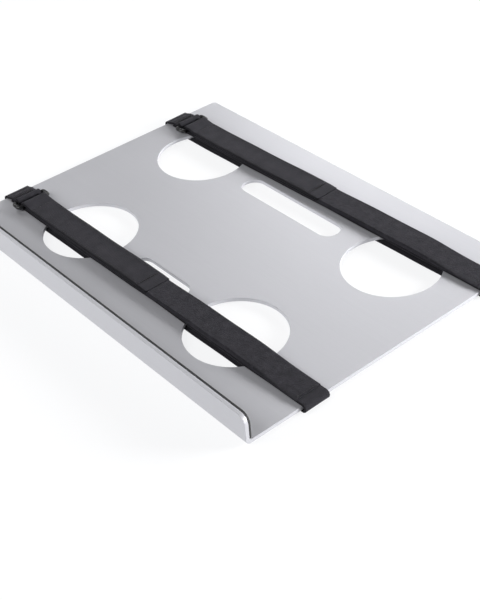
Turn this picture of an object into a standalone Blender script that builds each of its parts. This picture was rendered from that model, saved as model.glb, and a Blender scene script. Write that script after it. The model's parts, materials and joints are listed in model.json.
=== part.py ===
"""Laptop cooling tray: a folded aluminium plate with vent holes, and two cinch straps round it.

Metres, +Z up. X runs along the lip, Y from the lip to the back edge. The origin is under the
middle of the plate, at the level of the straps' under-runs, which are what the tray stands on.
"""
import math

import bmesh
import bpy
from mathutils import Matrix, Vector

# ---------------------------------------------------------------- driving dimensions
TRAY_WIDTH = 0.350          # along X
TRAY_DEPTH = 0.260          # along Y, from the lip's outer face to the back edge
SHEET = 0.003               # thickness of the aluminium
LIP_RISE = 0.0198           # height of the lip above the top face
LIP_CORNER = 0.0070         # radius of the lip's two upper corners
BEND_INNER = 0.0010         # inner radius of the fold between plate and lip
BACK_CORNER = 0.0030        # radius of the plate's two back corners
EDGE_BREAK = 0.00025        # deburred edge
TRIM = 0.001                # the blank stands out this far before its outline is cut

HOLE_RADIUS = 0.0372
FRONT_HOLE_X = 0.0875       # from the centre line
FRONT_ROW = 0.0649          # from the lip's outer face: centre of the front holes and slot
REAR_HOLE_X = 0.1097
REAR_ROW = 0.1934
SLOT_WIDTH = 0.0195
FRONT_SLOT_LENGTH = 0.0611
REAR_SLOT_LENGTH = 0.1054

LINER = 0.0015              # thickness of the strip inside the lip

STRAP_WIDTH = 0.022
WEBBING = 0.0016            # thickness of the webbing
TAPE = 0.0005               # thickness of the hook tape and of the loop tape
TAPE_WIDTH = 0.0204
FRONT_STRAP = 0.0548        # from the lip's outer face to the strap's centre line, at mid-width
REAR_STRAP = 0.2212
FRONT_SKEW = 0.65           # degrees that the strap is turned from square, its right end back
REAR_SKEW = 1.30

BAR_RADIUS = 0.0013         # round bars of the buckle ring
BAR_SPACING = 0.0086        # between the axes of the ring's two long bars
ANCHOR_BAR = 0.0170         # from the plate's left edge to the bar that the strap is sewn round
RING_SIDE_GAP = 0.0020      # between the webbing's edges and the ring's short sides
ANCHOR_SEWN_LENGTH = 0.0088  # from the anchor bar back to the cut end under it
ANCHOR_SLOPE = 0.0048       # length over which the upper layer comes down from the bar
TAIL_SLOPE = 0.0120         # length over which the tail comes down from the ring
TAIL_SPLIT = 0.0820         # from the folding bar to where the pull end peels back
TAIL_LENGTH = 0.1620        # from the folding bar to the tail's cut end
TAIL_BARE_END = 0.0120      # bare webbing at the tail's cut end
PULL_TACK_LENGTH = 0.0025   # of the tack at the end of the hook tape
TACK_EDGE = 0.0025          # from the webbing's edges to the tacks
TACK_END = 0.0005           # from the ends of the sewn layers to the anchor's tack
TACK_TEETH = 12

GAP = 0.0003                # clearance between pieces that rest on each other
RUN_END_GAP = 0.0010        # room for the fold to rise with the ring
THREAD_RADIUS = 0.00022

ARC_STEPS = 8
HOLE_STEPS = 72
CORNER_STEPS = 6
TUBE_STEPS = 2              # bevel resolution of bars and threads
SMOOTH_ANGLE = 35           # degrees: flatter edges are shaded smooth
BREAK_ANGLE = 50            # degrees: sharper edges of the tray are broken
THROUGH = 0.024             # height of the cutters that go through the plate

# ---------------------------------------------------------------- levels and stations
UNDER_RUN_Z = WEBBING / 2                                # middle of the webbing under the plate
PLATE_BOTTOM = WEBBING + GAP
PLATE_TOP = PLATE_BOTTOM + SHEET
PLATE_MIDDLE = PLATE_BOTTOM + SHEET / 2
LIP_TOP = PLATE_TOP + LIP_RISE
TOP_RUN_Z = PLATE_TOP + GAP + WEBBING / 2
LOOP_TAPE_Z = TOP_RUN_Z + WEBBING / 2 + GAP + TAPE / 2
HOOK_TAPE_Z = LOOP_TAPE_Z + TAPE + GAP
TAIL_Z = HOOK_TAPE_Z + TAPE / 2 + GAP + WEBBING / 2
WRAP_RADIUS = (TOP_RUN_Z - UNDER_RUN_Z) / 2              # the webbing's turn round the plate's edge
FOLD_RADIUS = BAR_RADIUS + GAP + WEBBING / 2             # the webbing's turn round a bar
BAR_Z = TOP_RUN_Z + FOLD_RADIUS
ANCHOR_TOP_Z = TOP_RUN_Z + WEBBING + GAP                 # upper layer of the sewn anchor
EDGE_X = TRAY_WIDTH / 2
ANCHOR_BAR_X = -EDGE_X + ANCHOR_BAR
FOLD_BAR_X = ANCHOR_BAR_X + BAR_SPACING
FRONT_FACE_Y = -TRAY_DEPTH / 2                           # the lip's outer face
TAIL_FLAT_X = FOLD_BAR_X + TAIL_SLOPE                    # from here on the tail lies flat
ANCHOR_FLAT_X = ANCHOR_BAR_X - ANCHOR_SLOPE              # left of here the anchor's layers touch
SEWN_END_X = ANCHOR_BAR_X - ANCHOR_SEWN_LENGTH           # cut end of the lower layer


def from_lip(distance):
    """Y of a place given by its distance behind the lip's outer face."""
    return FRONT_FACE_Y + distance


# ---------------------------------------------------------------- scene and materials
def clear_scene():
    for item in list(bpy.data.objects):
        bpy.data.objects.remove(item, do_unlink=True)


def new_collection(name):
    group = bpy.data.collections.new(name)
    bpy.context.scene.collection.children.link(group)
    return group


def material(name, colour, roughness, metallic=0.0):
    """A plain finish: colour, roughness and metallic value."""
    finish = bpy.data.materials.new(name)
    finish.use_nodes = True
    shader = finish.node_tree.nodes["Principled BSDF"]
    shader.inputs["Base Color"].default_value = (*colour, 1.0)
    shader.inputs["Roughness"].default_value = roughness
    shader.inputs["Metallic"].default_value = metallic
    return finish


def add_object(name, data, group, finish=None):
    item = bpy.data.objects.new(name, data)
    group.objects.link(item)
    if finish is not None:
        data.materials.append(finish)
    return item


def add_empty(name, group, place, parent=None):
    """An empty that carries the pieces that move about it. Places are in the strap's own frame."""
    pivot = bpy.data.objects.new(name, None)
    pivot.empty_display_size = TAIL_SLOPE
    group.objects.link(pivot)
    parent_place = Vector(parent["place"]) if parent else Vector((0.0, 0.0, 0.0))
    pivot.parent = parent
    pivot.location = Vector(place) - parent_place
    pivot["place"] = list(place)
    return pivot


def attach(item, pivot):
    """Put an object's origin on its pivot, and leave its surface where it is in the strap's frame."""
    item.data.transform(Matrix.Translation(-Vector(pivot["place"])))
    item.parent = pivot


def shade(item):
    item.data.shade_smooth()
    item.data.set_sharp_from_angle(angle=math.radians(SMOOTH_ANGLE))


# ---------------------------------------------------------------- outlines
def arc(centre, radius, start, end, steps=ARC_STEPS):
    """Points on an arc, from the start angle to the end angle in degrees."""
    points = []
    for step in range(steps + 1):
        angle = math.radians(start + (end - start) * step / steps)
        points.append((centre[0] + radius * math.cos(angle), centre[1] + radius * math.sin(angle)))
    return points


def ease(start, end, steps=ARC_STEPS):
    """Points of a gentle S from one level to another."""
    points = []
    for step in range(steps + 1):
        share = step / steps
        rise = share * share * (3 - 2 * share)
        points.append((start[0] + (end[0] - start[0]) * share, start[1] + (end[1] - start[1]) * rise))
    return points


def slot_outline(x, y, length, width):
    """A round-ended slot along X."""
    reach = (length - width) / 2
    right = arc((x + reach, y), width / 2, -90, 90, HOLE_STEPS // 4)
    left = arc((x - reach, y), width / 2, 90, 270, HOLE_STEPS // 4)
    return right + left


def topped_outline(half_width, low, high, corner):
    """A rectangle whose two upper corners are round."""
    right = arc((half_width - corner, high - corner), corner, 0, 90, CORNER_STEPS)
    left = arc((corner - half_width, high - corner), corner, 90, 180, CORNER_STEPS)
    return [(-half_width, low), (half_width, low)] + right + left


# ---------------------------------------------------------------- solids
def prism(name, outline, thickness, group, upright=False):
    """A flat outline given thickness about its plane: level, or upright in the XZ plane."""
    curve = bpy.data.curves.new(name, "CURVE")
    curve.dimensions = "2D"
    curve.fill_mode = "BOTH"
    curve.extrude = thickness / 2
    spline = curve.splines.new("POLY")
    spline.points.add(len(outline) - 1)
    for point, (across, along) in zip(spline.points, outline):
        point.co = (across, along, 0.0, 1.0)
    spline.use_cyclic_u = True
    guide = add_object(name + "_outline", curve, group)
    bpy.context.view_layer.update()
    shape = guide.evaluated_get(bpy.context.evaluated_depsgraph_get())
    mesh = bpy.data.meshes.new_from_object(shape)
    bpy.data.objects.remove(guide)
    body = bmesh.new()
    body.from_mesh(mesh)
    bmesh.ops.remove_doubles(body, verts=body.verts, dist=0.00001)
    bmesh.ops.recalc_face_normals(body, faces=body.faces)
    body.to_mesh(mesh)
    body.free()
    if upright:
        mesh.transform(Matrix.Rotation(math.radians(90), 4, "X"))
    mesh.name = name
    return mesh


def strip(name, path, width):
    """An open strip along a path in the XZ plane, half its width to each side in Y."""
    body = bmesh.new()
    edge = [body.verts.new((x, -width / 2, z)) for x, z in path]
    rails = [body.edges.new(pair) for pair in zip(edge, edge[1:])]
    swept = bmesh.ops.extrude_edge_only(body, edges=rails)
    moved = [part for part in swept["geom"] if isinstance(part, bmesh.types.BMVert)]
    bmesh.ops.translate(body, verts=moved, vec=(0.0, width, 0.0))
    bmesh.ops.recalc_face_normals(body, faces=body.faces)
    mesh = bpy.data.meshes.new(name)
    body.to_mesh(mesh)
    body.free()
    return mesh


def thicken(item, thickness):
    """Give an open surface its thickness, half to each side."""
    shell = item.modifiers.new("thickness", "SOLIDIFY")
    shell.thickness = thickness
    shell.offset = 0.0
    shell.use_even_offset = True


def ribbon(name, path, group, finish, pivot, thickness=WEBBING, width=STRAP_WIDTH):
    """A flat band of webbing or tape that follows a path in the XZ plane."""
    item = add_object(name, strip(name, path, width), group, finish)
    attach(item, pivot)
    thicken(item, thickness)
    shade(item)
    return item


def tube(name, points, radius, group, finish, pivot, cyclic=False):
    """A round bar or thread along a list of points."""
    curve = bpy.data.curves.new(name, "CURVE")
    curve.dimensions = "3D"
    curve.bevel_depth = radius
    curve.bevel_resolution = TUBE_STEPS
    curve.use_fill_caps = not cyclic
    spline = curve.splines.new("POLY")
    spline.points.add(len(points) - 1)
    for point, place in zip(spline.points, points):
        point.co = (*place, 1.0)
    spline.use_cyclic_u = cyclic
    item = add_object(name, curve, group, finish)
    attach(item, pivot)
    return item


def cutter(name, mesh, group):
    item = add_object(name, mesh, group)
    item.hide_render = True
    item.display_type = "WIRE"
    return item


def carve(item, tool, operation):
    cut = item.modifiers.new(tool.name, "BOOLEAN")
    cut.operation = operation
    cut.solver = "EXACT"
    cut.object = tool


# ---------------------------------------------------------------- tray
def tray_plate(group, tools, finish):
    """One folded sheet: the plate with its holes and slots, and the lip along the front."""
    bend = BEND_INNER + SHEET / 2
    lip_y = FRONT_FACE_Y + SHEET / 2
    fold = arc((lip_y + bend, PLATE_MIDDLE + bend), bend, 180, 270)
    section = [(lip_y, LIP_TOP + TRIM)] + fold + [(TRAY_DEPTH / 2 + TRIM, PLATE_MIDDLE)]
    mesh = strip("tray_plate", section, TRAY_WIDTH + 2 * TRIM)
    mesh.transform(Matrix(((0, 1, 0, 0), (1, 0, 0, 0), (0, 0, 1, 0), (0, 0, 0, 1))))
    mesh.flip_normals()
    item = add_object("tray_plate", mesh, group, finish)
    thicken(item, SHEET)

    elevation = topped_outline(EDGE_X, -LIP_TOP, LIP_TOP, LIP_CORNER)
    mould = prism("elevation", elevation, 2 * TRAY_DEPTH, tools, upright=True)
    carve(item, cutter("elevation", mould, tools), "INTERSECT")
    plan = topped_outline(EDGE_X, -TRAY_DEPTH, TRAY_DEPTH / 2, BACK_CORNER)
    mould = prism("plan", plan, 4 * LIP_TOP, tools)
    carve(item, cutter("plan", mould, tools), "INTERSECT")

    openings = []
    for row, x, distance in (("front", FRONT_HOLE_X, FRONT_ROW), ("rear", REAR_HOLE_X, REAR_ROW)):
        for side, sign in (("left", -1), ("right", 1)):
            outline = arc((sign * x, from_lip(distance)), HOLE_RADIUS, 0, 360, HOLE_STEPS)[:-1]
            openings.append((row + "_" + side + "_hole", outline))
    for row, length, distance in (
        ("front", FRONT_SLOT_LENGTH, FRONT_ROW),
        ("rear", REAR_SLOT_LENGTH, REAR_ROW),
    ):
        openings.append((row + "_slot", slot_outline(0.0, from_lip(distance), length, SLOT_WIDTH)))
    for name, outline in openings:
        carve(item, cutter(name, prism(name, outline, THROUGH, tools), tools), "DIFFERENCE")

    edges = item.modifiers.new("edge_break", "BEVEL")
    edges.width = EDGE_BREAK
    edges.segments = 1
    edges.limit_method = "ANGLE"
    edges.angle_limit = math.radians(BREAK_ANGLE)
    shade(item)
    return item


def lip_liner(group, finish):
    """The strip glued inside the lip, which keeps the metal off the computer."""
    bottom = PLATE_TOP + BEND_INNER
    outline = topped_outline(EDGE_X, bottom, LIP_TOP, LIP_CORNER)
    mesh = prism("lip_liner", outline, LINER, group, upright=True)
    middle = FRONT_FACE_Y + SHEET + GAP + LINER / 2
    mesh.transform(Matrix.Translation((0.0, middle, 0.0)))
    return add_object("lip_liner", mesh, group, finish)


# ---------------------------------------------------------------- strap
def band_path():
    """The webbing from its sewn end, round the anchor bar, under the plate and back over it."""
    path = [(SEWN_END_X, TOP_RUN_Z)]
    path += arc((ANCHOR_BAR_X, BAR_Z), FOLD_RADIUS, -90, 90)
    path += ease((ANCHOR_BAR_X, BAR_Z + FOLD_RADIUS), (ANCHOR_FLAT_X, ANCHOR_TOP_Z))[1:]
    path += ease((SEWN_END_X - GAP, ANCHOR_TOP_Z), (-EDGE_X, TOP_RUN_Z))
    path += arc((-EDGE_X, PLATE_MIDDLE), WRAP_RADIUS, 90, 270)[1:]
    path += arc((EDGE_X, PLATE_MIDDLE), WRAP_RADIUS, -90, 90)
    path.append((FOLD_BAR_X + RUN_END_GAP, TOP_RUN_Z))
    return path


def ring_points():
    """Centre line of the rectangular ring, with round corners."""
    corner = 2 * BAR_RADIUS
    half = STRAP_WIDTH / 2 + RING_SIDE_GAP + BAR_RADIUS
    spans = (
        (FOLD_BAR_X - corner, half - corner, 0),
        (ANCHOR_BAR_X + corner, half - corner, 90),
        (ANCHOR_BAR_X + corner, corner - half, 180),
        (FOLD_BAR_X - corner, corner - half, 270),
    )
    points = []
    for x, across, start in spans:
        turn = arc((x, across), corner, start, start + 90, CORNER_STEPS)
        points += [(px, py, BAR_Z) for px, py in turn]
    return points


def zigzag(x_low, x_high, z):
    """Centre line of a dense zigzag tack across the strap."""
    half = STRAP_WIDTH / 2 - TACK_EDGE
    points = []
    for step in range(TACK_TEETH + 1):
        x = x_low if step % 2 == 0 else x_high
        points.append((x, 2 * half * step / TACK_TEETH - half, z))
    return points


def strap(side, distance, skew, group, finishes):
    """One cinch strap: band, ring, fold, tail and pull end, each on its own pivot."""
    webbing, loop, hook, plastic, thread = finishes
    tail_start = FOLD_BAR_X + GAP
    split = FOLD_BAR_X + TAIL_SPLIT
    tail_end = FOLD_BAR_X + TAIL_LENGTH
    tape_end = tail_end - TAIL_BARE_END
    fold_top = BAR_Z + FOLD_RADIUS

    carrier = add_empty(side + "_strap_carrier", group, (0.0, 0.0, 0.0))
    carrier.location.y = from_lip(distance)
    carrier.rotation_euler.z = math.radians(skew)
    ring_pivot = add_empty(side + "_ring_pivot", group, (ANCHOR_BAR_X, 0.0, BAR_Z), carrier)
    tail_place = (FOLD_BAR_X + GAP / 2, 0.0, fold_top + WEBBING / 2)
    tail_pivot = add_empty(side + "_tail_pivot", group, tail_place, ring_pivot)
    end_pivot = add_empty(side + "_pull_end_pivot", group, (split, 0.0, TAIL_Z + WEBBING / 2), tail_pivot)

    ribbon(side + "_strap_band", band_path(), group, webbing, carrier)
    run = [(TAIL_FLAT_X, LOOP_TAPE_Z), (EDGE_X - 2 * WRAP_RADIUS, LOOP_TAPE_Z)]
    ribbon(side + "_loop_tape", run, group, loop, carrier, TAPE, TAPE_WIDTH)
    tack_z = ANCHOR_TOP_Z + WEBBING / 2 + GAP + THREAD_RADIUS
    tack = zigzag(SEWN_END_X + TACK_END, ANCHOR_FLAT_X - TACK_END, tack_z)
    tube(side + "_anchor_stitching", tack, THREAD_RADIUS, group, thread, carrier)

    tube(side + "_buckle_ring", ring_points(), BAR_RADIUS, group, plastic, ring_pivot, cyclic=True)
    turn = arc((FOLD_BAR_X, BAR_Z), FOLD_RADIUS, 270, 90, 2 * ARC_STEPS)
    ribbon(side + "_strap_fold", turn, group, webbing, ring_pivot)

    slope = ease((tail_start, fold_top), (TAIL_FLAT_X, TAIL_Z))
    ribbon(side + "_tail", slope + [(split - GAP / 2, TAIL_Z)], group, webbing, tail_pivot)
    run = [(TAIL_FLAT_X, HOOK_TAPE_Z), (split - GAP / 2, HOOK_TAPE_Z)]
    ribbon(side + "_tail_hook_tape", run, group, hook, tail_pivot, TAPE, TAPE_WIDTH)

    run = [(split + GAP / 2, TAIL_Z), (tail_end, TAIL_Z)]
    ribbon(side + "_pull_end", run, group, webbing, end_pivot)
    run = [(split + GAP / 2, HOOK_TAPE_Z), (tape_end, HOOK_TAPE_Z)]
    ribbon(side + "_pull_end_hook_tape", run, group, hook, end_pivot, TAPE, TAPE_WIDTH)
    tack_z = TAIL_Z + WEBBING / 2 + GAP + THREAD_RADIUS
    tack = zigzag(tape_end, tape_end + PULL_TACK_LENGTH, tack_z)
    tube(side + "_pull_end_stitching", tack, THREAD_RADIUS, group, thread, end_pivot)


def main():
    clear_scene()
    parts = new_collection("laptop_cooling_tray")
    tools = new_collection("cutters")
    aluminium = material("aluminium", (0.60, 0.61, 0.63), 0.38, 1.0)
    rubber = material("liner_rubber", (0.02, 0.02, 0.02), 0.75)
    strap_finishes = (
        material("webbing", (0.030, 0.029, 0.033), 0.85),
        material("loop_tape", (0.028, 0.027, 0.030), 0.95),
        material("hook_tape", (0.022, 0.022, 0.024), 0.60),
        material("buckle_plastic", (0.015, 0.015, 0.016), 0.30),
        material("thread", (0.035, 0.034, 0.038), 0.70),
    )
    tray_plate(parts, tools, aluminium)
    lip_liner(parts, rubber)
    strap("front", FRONT_STRAP, FRONT_SKEW, parts, strap_finishes)
    strap("rear", REAR_STRAP, REAR_SKEW, parts, strap_finishes)


main()
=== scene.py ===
"""Looks of the laptop cooling tray: satin aluminium, woven straps, hook-and-loop tapes, moulded rings.

Metres, +Z up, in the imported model's frame. Places come from the model's boxes and joints.
"""

import json
import math

import bmesh
import bpy
import numpy as np
from mathutils import Matrix, Quaternion, Vector


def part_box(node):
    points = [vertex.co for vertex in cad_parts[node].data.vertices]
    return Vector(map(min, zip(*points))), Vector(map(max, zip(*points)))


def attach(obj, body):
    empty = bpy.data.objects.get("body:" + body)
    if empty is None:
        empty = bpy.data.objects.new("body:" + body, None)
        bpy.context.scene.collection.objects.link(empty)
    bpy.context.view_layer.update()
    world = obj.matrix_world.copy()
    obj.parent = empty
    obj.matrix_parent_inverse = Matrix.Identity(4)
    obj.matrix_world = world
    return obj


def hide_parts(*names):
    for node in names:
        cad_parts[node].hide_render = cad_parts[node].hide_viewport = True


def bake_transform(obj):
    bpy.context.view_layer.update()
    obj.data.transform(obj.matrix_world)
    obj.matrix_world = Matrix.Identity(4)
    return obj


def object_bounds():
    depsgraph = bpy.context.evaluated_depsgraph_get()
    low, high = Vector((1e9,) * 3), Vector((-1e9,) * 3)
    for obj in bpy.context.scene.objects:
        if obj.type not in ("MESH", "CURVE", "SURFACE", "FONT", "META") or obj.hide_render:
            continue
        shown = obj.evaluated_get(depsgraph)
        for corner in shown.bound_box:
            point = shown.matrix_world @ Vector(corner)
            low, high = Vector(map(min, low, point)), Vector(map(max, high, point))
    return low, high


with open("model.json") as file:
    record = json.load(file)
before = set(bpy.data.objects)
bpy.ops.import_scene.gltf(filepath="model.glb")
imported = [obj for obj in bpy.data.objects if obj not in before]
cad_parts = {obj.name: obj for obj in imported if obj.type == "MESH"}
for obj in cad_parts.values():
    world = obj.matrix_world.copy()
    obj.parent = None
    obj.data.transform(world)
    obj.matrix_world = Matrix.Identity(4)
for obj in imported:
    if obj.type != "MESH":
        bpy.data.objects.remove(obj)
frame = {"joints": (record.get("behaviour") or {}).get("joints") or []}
cad_low, cad_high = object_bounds()

# ---------------------------------------------------------------- sizes the boxes don't give
SHEET = 0.003               # aluminium
BEND_INNER = 0.0010
LIP_CORNER = 0.0070
BACK_CORNER = 0.0030
HOLE_RADIUS = 0.0372
FRONT_HOLE_X = 0.0875
FRONT_ROW = 0.0649          # behind the lip's outer face
REAR_HOLE_X = 0.1097
REAR_ROW = 0.1934
SLOT_WIDTH = 0.0195
FRONT_SLOT_LENGTH = 0.0611
REAR_SLOT_LENGTH = 0.1054
STRAP_WIDTH = 0.022
WEBBING = 0.0016
TAPE = 0.0005
TAPE_WIDTH = 0.0204
BAR_RADIUS = 0.0013
BAR_SPACING = 0.0086
ANCHOR_BAR = 0.0170         # from the plate's left edge to the bar that the strap is sewn round
RING_SIDE_GAP = 0.0020
ANCHOR_SEWN_LENGTH = 0.0088
ANCHOR_SLOPE = 0.0048
TAIL_SLOPE = 0.0120
TAIL_LENGTH = 0.1620
TAIL_BARE_END = 0.0120
PULL_TACK_LENGTH = 0.0025
TAIL_END_DROP = 0.0004      # the bare end lies down on the loop tape
GAP = 0.0003                # between pieces that lie on each other
SUNK = 0.0001               # how far a tape is sewn into the webbing

# ---------------------------------------------------------------- fine sizes
EDGE_BREAK = 0.0003         # the sheet's rubbed edges
LINER_INSET = 0.0002
LINER_LIFT = 0.00001        # keeps the liner's back clear of the lip
LINER_ROUND = 0.00035
SHARP_ANGLE = 50            # degrees
TRIM = 0.001                # the sheet is made this much larger, then cut to size
HOLE_SIDES = 144
CORNER_STEPS = 16
SLOT_END_STEPS = 36
MESH_STEP = 0.0004          # along webbing and tapes
SAME_PLACE = 1e-7           # points closer than this are one
WARP_PITCH = 0.0009
WEFT_PITCH = 0.0011
WEAVE_DEPTH = 0.00012
RIB_PITCH = 0.0016
RIB_HEIGHT = 0.00006
MIDDLE_THINNING = 0.06      # of the webbing's thickness
SELVEDGE_SWELL = 0.05
SELVEDGE_START = 0.82       # of its half width
CUT_CORNER = 0.0010         # rounding of the webbing's cut end
CUT_THINNING = 0.25
# sideways wander of the webbing: how far, radians per metre, phase
SWAY = ((0.00028, 37.0, 0.0), (0.00014, 103.0, 1.0))
TAPE_RIM_START = 0.95       # of a tape's half width
TAPE_RIM_DROP = 0.45        # of its thickness
PILE_ROUGHNESS = 0.00003
STANDING_PILE = 0.0023      # beyond the tail, where no hooks press it down
STANDING_START = 0.0001     # past the tail's end
STANDING_RAMP = 0.0005      # the length over which it rises
STANDING_FALL = 0.0600      # and over which it falls again to the tape's far end
HOOK_GROUND = 0.00045
HOOK_PITCH = 0.0018
HOOK_HEIGHT = 0.00055
HOOK_RADIUS = 0.00011
STITCH_PITCH = 0.0026
STITCH_GAP = 0.0007
THREAD_RADIUS = 0.00020
SEAM_HALF = TAPE_WIDTH / 2 - 0.0011     # from the strap's middle to each side seam
SEAM_END = 0.0010           # from the hook tape's end to the first and last stitch
SEAM_PROUD = 0.00002
LOOP_SEAM_INSET = 0.0015
TAIL_TACK_LEGS = 22
ANCHOR_TACK_LEGS = 24
ANCHOR_TACK_INSET = 0.0005
RING_END_RADIUS = 0.0017
RING_CORNER = 0.0026
RING_SQUARENESS = 0.82      # 1 is a round bar
PARTING_HEIGHT = 0.035      # of the bar's radius
PARTING_WIDTH = 0.07
RING_MAP_GIRTH = 0.008

# where one length of webbing passes from mesh to mesh, from the ring's folding bar
BAND_SEAM = 0.030
TAIL_SEAM = 0.040

# ---------------------------------------------------------------- stage and colours
STRAP_DARK = (0.006, 0.0057, 0.0075)
STRAP_LIGHT = (0.030, 0.029, 0.035)
SHEEN_TINT = (0.80, 0.78, 0.88, 1.0)
FLOOR_REACH = 30.0
FLOOR_BELOW = 0.0002
FLOOR_GREY = (0.15, 0.15, 0.15, 1.0)
FLOOR_GLOW_TINT = (0.985, 0.99, 1.0, 1.0)
FLOOR_GLOW = 0.84
SKY_STRENGTH = 0.08
SKY_SEEN = 0.84             # what the camera sees past the floor's far edge
SOFTBOX_SIZE = (0.5, 0.4)
SOFTBOX_DISTANCE = 1.4
# name, azimuth from the back towards the right, elevation, watts
SOFTBOXES = (
    ("key", 45, 15, 37.5),
    ("back", 0, 28, 6.0),
    ("back_middle", -20, 15, 1.0),
    ("back_left", -40, 15, 2.8),
    ("back_left_high", -40, 28, 1.4),
    ("left", -90, 28, 2.2),
    ("front", -155, 28, 8.7),
    ("front_high", 180, 50, 6.6),
)
VIEW_AZIMUTH = 52.92        # from the front towards the right
VIEW_ELEVATION = 37.61
VIEW_ROLL = -4.98
VIEW_DISTANCE = 0.9939
VIEW_TARGET = (-0.0156, 0.0188, -0.0709)
SENSOR_WIDTH = 36.0
FOCAL_LENGTH = 73.94
VIEW_CLIP = (0.05, 100.0)

# ---------------------------------------------------------------- places from the frame
joints = {joint["name"]: joint for joint in frame["joints"]}
tray_low, tray_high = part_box("tray_plate")
EDGE_X = tray_high.x
LIP_FACE_Y = tray_low.y
BACK_Y = tray_high.y
PLATE_BOTTOM = tray_low.z
PLATE_TOP = PLATE_BOTTOM + SHEET
PLATE_MIDDLE = PLATE_BOTTOM + SHEET / 2
LIP_TOP = tray_high.z
UNDER_RUN_Z = WEBBING / 2
TOP_RUN_Z = PLATE_TOP + GAP + WEBBING / 2
ANCHOR_TOP_Z = TOP_RUN_Z + WEBBING + GAP
LOOP_TAPE_Z = TOP_RUN_Z + WEBBING / 2 + GAP + TAPE / 2
HOOK_TAPE_Z = LOOP_TAPE_Z + TAPE + GAP
TAIL_Z = HOOK_TAPE_Z + TAPE / 2 + GAP + WEBBING / 2
WRAP_RADIUS = (TOP_RUN_Z - UNDER_RUN_Z) / 2
FOLD_RADIUS = BAR_RADIUS + GAP + WEBBING / 2
BAR_Z = TOP_RUN_Z + FOLD_RADIUS

# along the strap, from the middle of the plate
ANCHOR_BAR_X = -EDGE_X + ANCHOR_BAR
FOLD_BAR_X = ANCHOR_BAR_X + BAR_SPACING
ANCHOR_FLAT_X = ANCHOR_BAR_X - ANCHOR_SLOPE
SEWN_END_X = ANCHOR_BAR_X - ANCHOR_SEWN_LENGTH
TAIL_FLAT_X = FOLD_BAR_X + TAIL_SLOPE
TAIL_END_X = FOLD_BAR_X + TAIL_LENGTH
HOOK_END_X = TAIL_END_X - TAIL_BARE_END
LOOP_END_X = EDGE_X - 2 * WRAP_RADIUS
BAND_SEAM_X = FOLD_BAR_X + BAND_SEAM
TAIL_SEAM_X = FOLD_BAR_X + TAIL_SEAM


def from_lip(distance):
    """Y of a place given by its distance behind the lip's outer face."""
    return LIP_FACE_Y + distance


# ---------------------------------------------------------------- shader helpers
class Shader:
    """A Principled material, with short calls for the nodes that colour and roughen it."""

    def __init__(self, name):
        self.material = bpy.data.materials.new(name)
        self.material.use_nodes = True
        self.nodes = self.material.node_tree.nodes
        self.links = self.material.node_tree.links
        self.out = self.nodes["Principled BSDF"]

    def set(self, socket, value):
        self.out.inputs[socket].default_value = value

    def link(self, source, target):
        self.links.new(source, target)

    def put(self, source, socket):
        self.links.new(source, self.out.inputs[socket])

    def place(self):
        """Position in the object, in metres."""
        return self.nodes.new("ShaderNodeTexCoord").outputs["Object"]

    def weave_place(self):
        """Across and along the band, in metres."""
        node = self.nodes.new("ShaderNodeUVMap")
        node.uv_map = "band"
        return node.outputs["UV"]

    def scaled(self, vector, scale):
        node = self.nodes.new("ShaderNodeMapping")
        node.inputs["Scale"].default_value = scale
        self.link(vector, node.inputs["Vector"])
        return node.outputs["Vector"]

    def noise(self, vector, scale, detail, roughness):
        node = self.nodes.new("ShaderNodeTexNoise")
        node.inputs["Scale"].default_value = scale
        node.inputs["Detail"].default_value = detail
        node.inputs["Roughness"].default_value = roughness
        self.link(vector, node.inputs["Vector"])
        return node.outputs["Fac"]

    def cells(self, vector, scale):
        node = self.nodes.new("ShaderNodeTexVoronoi")
        node.inputs["Scale"].default_value = scale
        self.link(vector, node.inputs["Vector"])
        return node.outputs["Distance"]

    def math(self, operation, first, second=None, third=None):
        node = self.nodes.new("ShaderNodeMath")
        node.operation = operation
        for index, value in enumerate((first, second, third)):
            if value is None:
                continue
            if isinstance(value, (int, float)):
                node.inputs[index].default_value = value
            else:
                self.link(value, node.inputs[index])
        return node.outputs[0]

    def remap(self, value, source, target=(0.0, 1.0)):
        node = self.nodes.new("ShaderNodeMapRange")
        node.inputs["From Min"].default_value, node.inputs["From Max"].default_value = source
        node.inputs["To Min"].default_value, node.inputs["To Max"].default_value = target
        self.link(value, node.inputs["Value"])
        return node.outputs["Result"]

    def ramp(self, value, dark, light):
        node = self.nodes.new("ShaderNodeValToRGB")
        node.color_ramp.elements[0].color = (*dark, 1.0)
        node.color_ramp.elements[1].color = (*light, 1.0)
        self.link(value, node.inputs["Fac"])
        return node.outputs["Color"]

    def split(self, vector):
        node = self.nodes.new("ShaderNodeSeparateXYZ")
        self.link(vector, node.inputs["Vector"])
        return node.outputs["X"], node.outputs["Y"], node.outputs["Z"]

    def bump(self, height, strength, distance):
        node = self.nodes.new("ShaderNodeBump")
        node.inputs["Strength"].default_value = strength
        node.inputs["Distance"].default_value = distance
        self.link(height, node.inputs["Height"])
        self.put(node.outputs["Normal"], "Normal")


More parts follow.
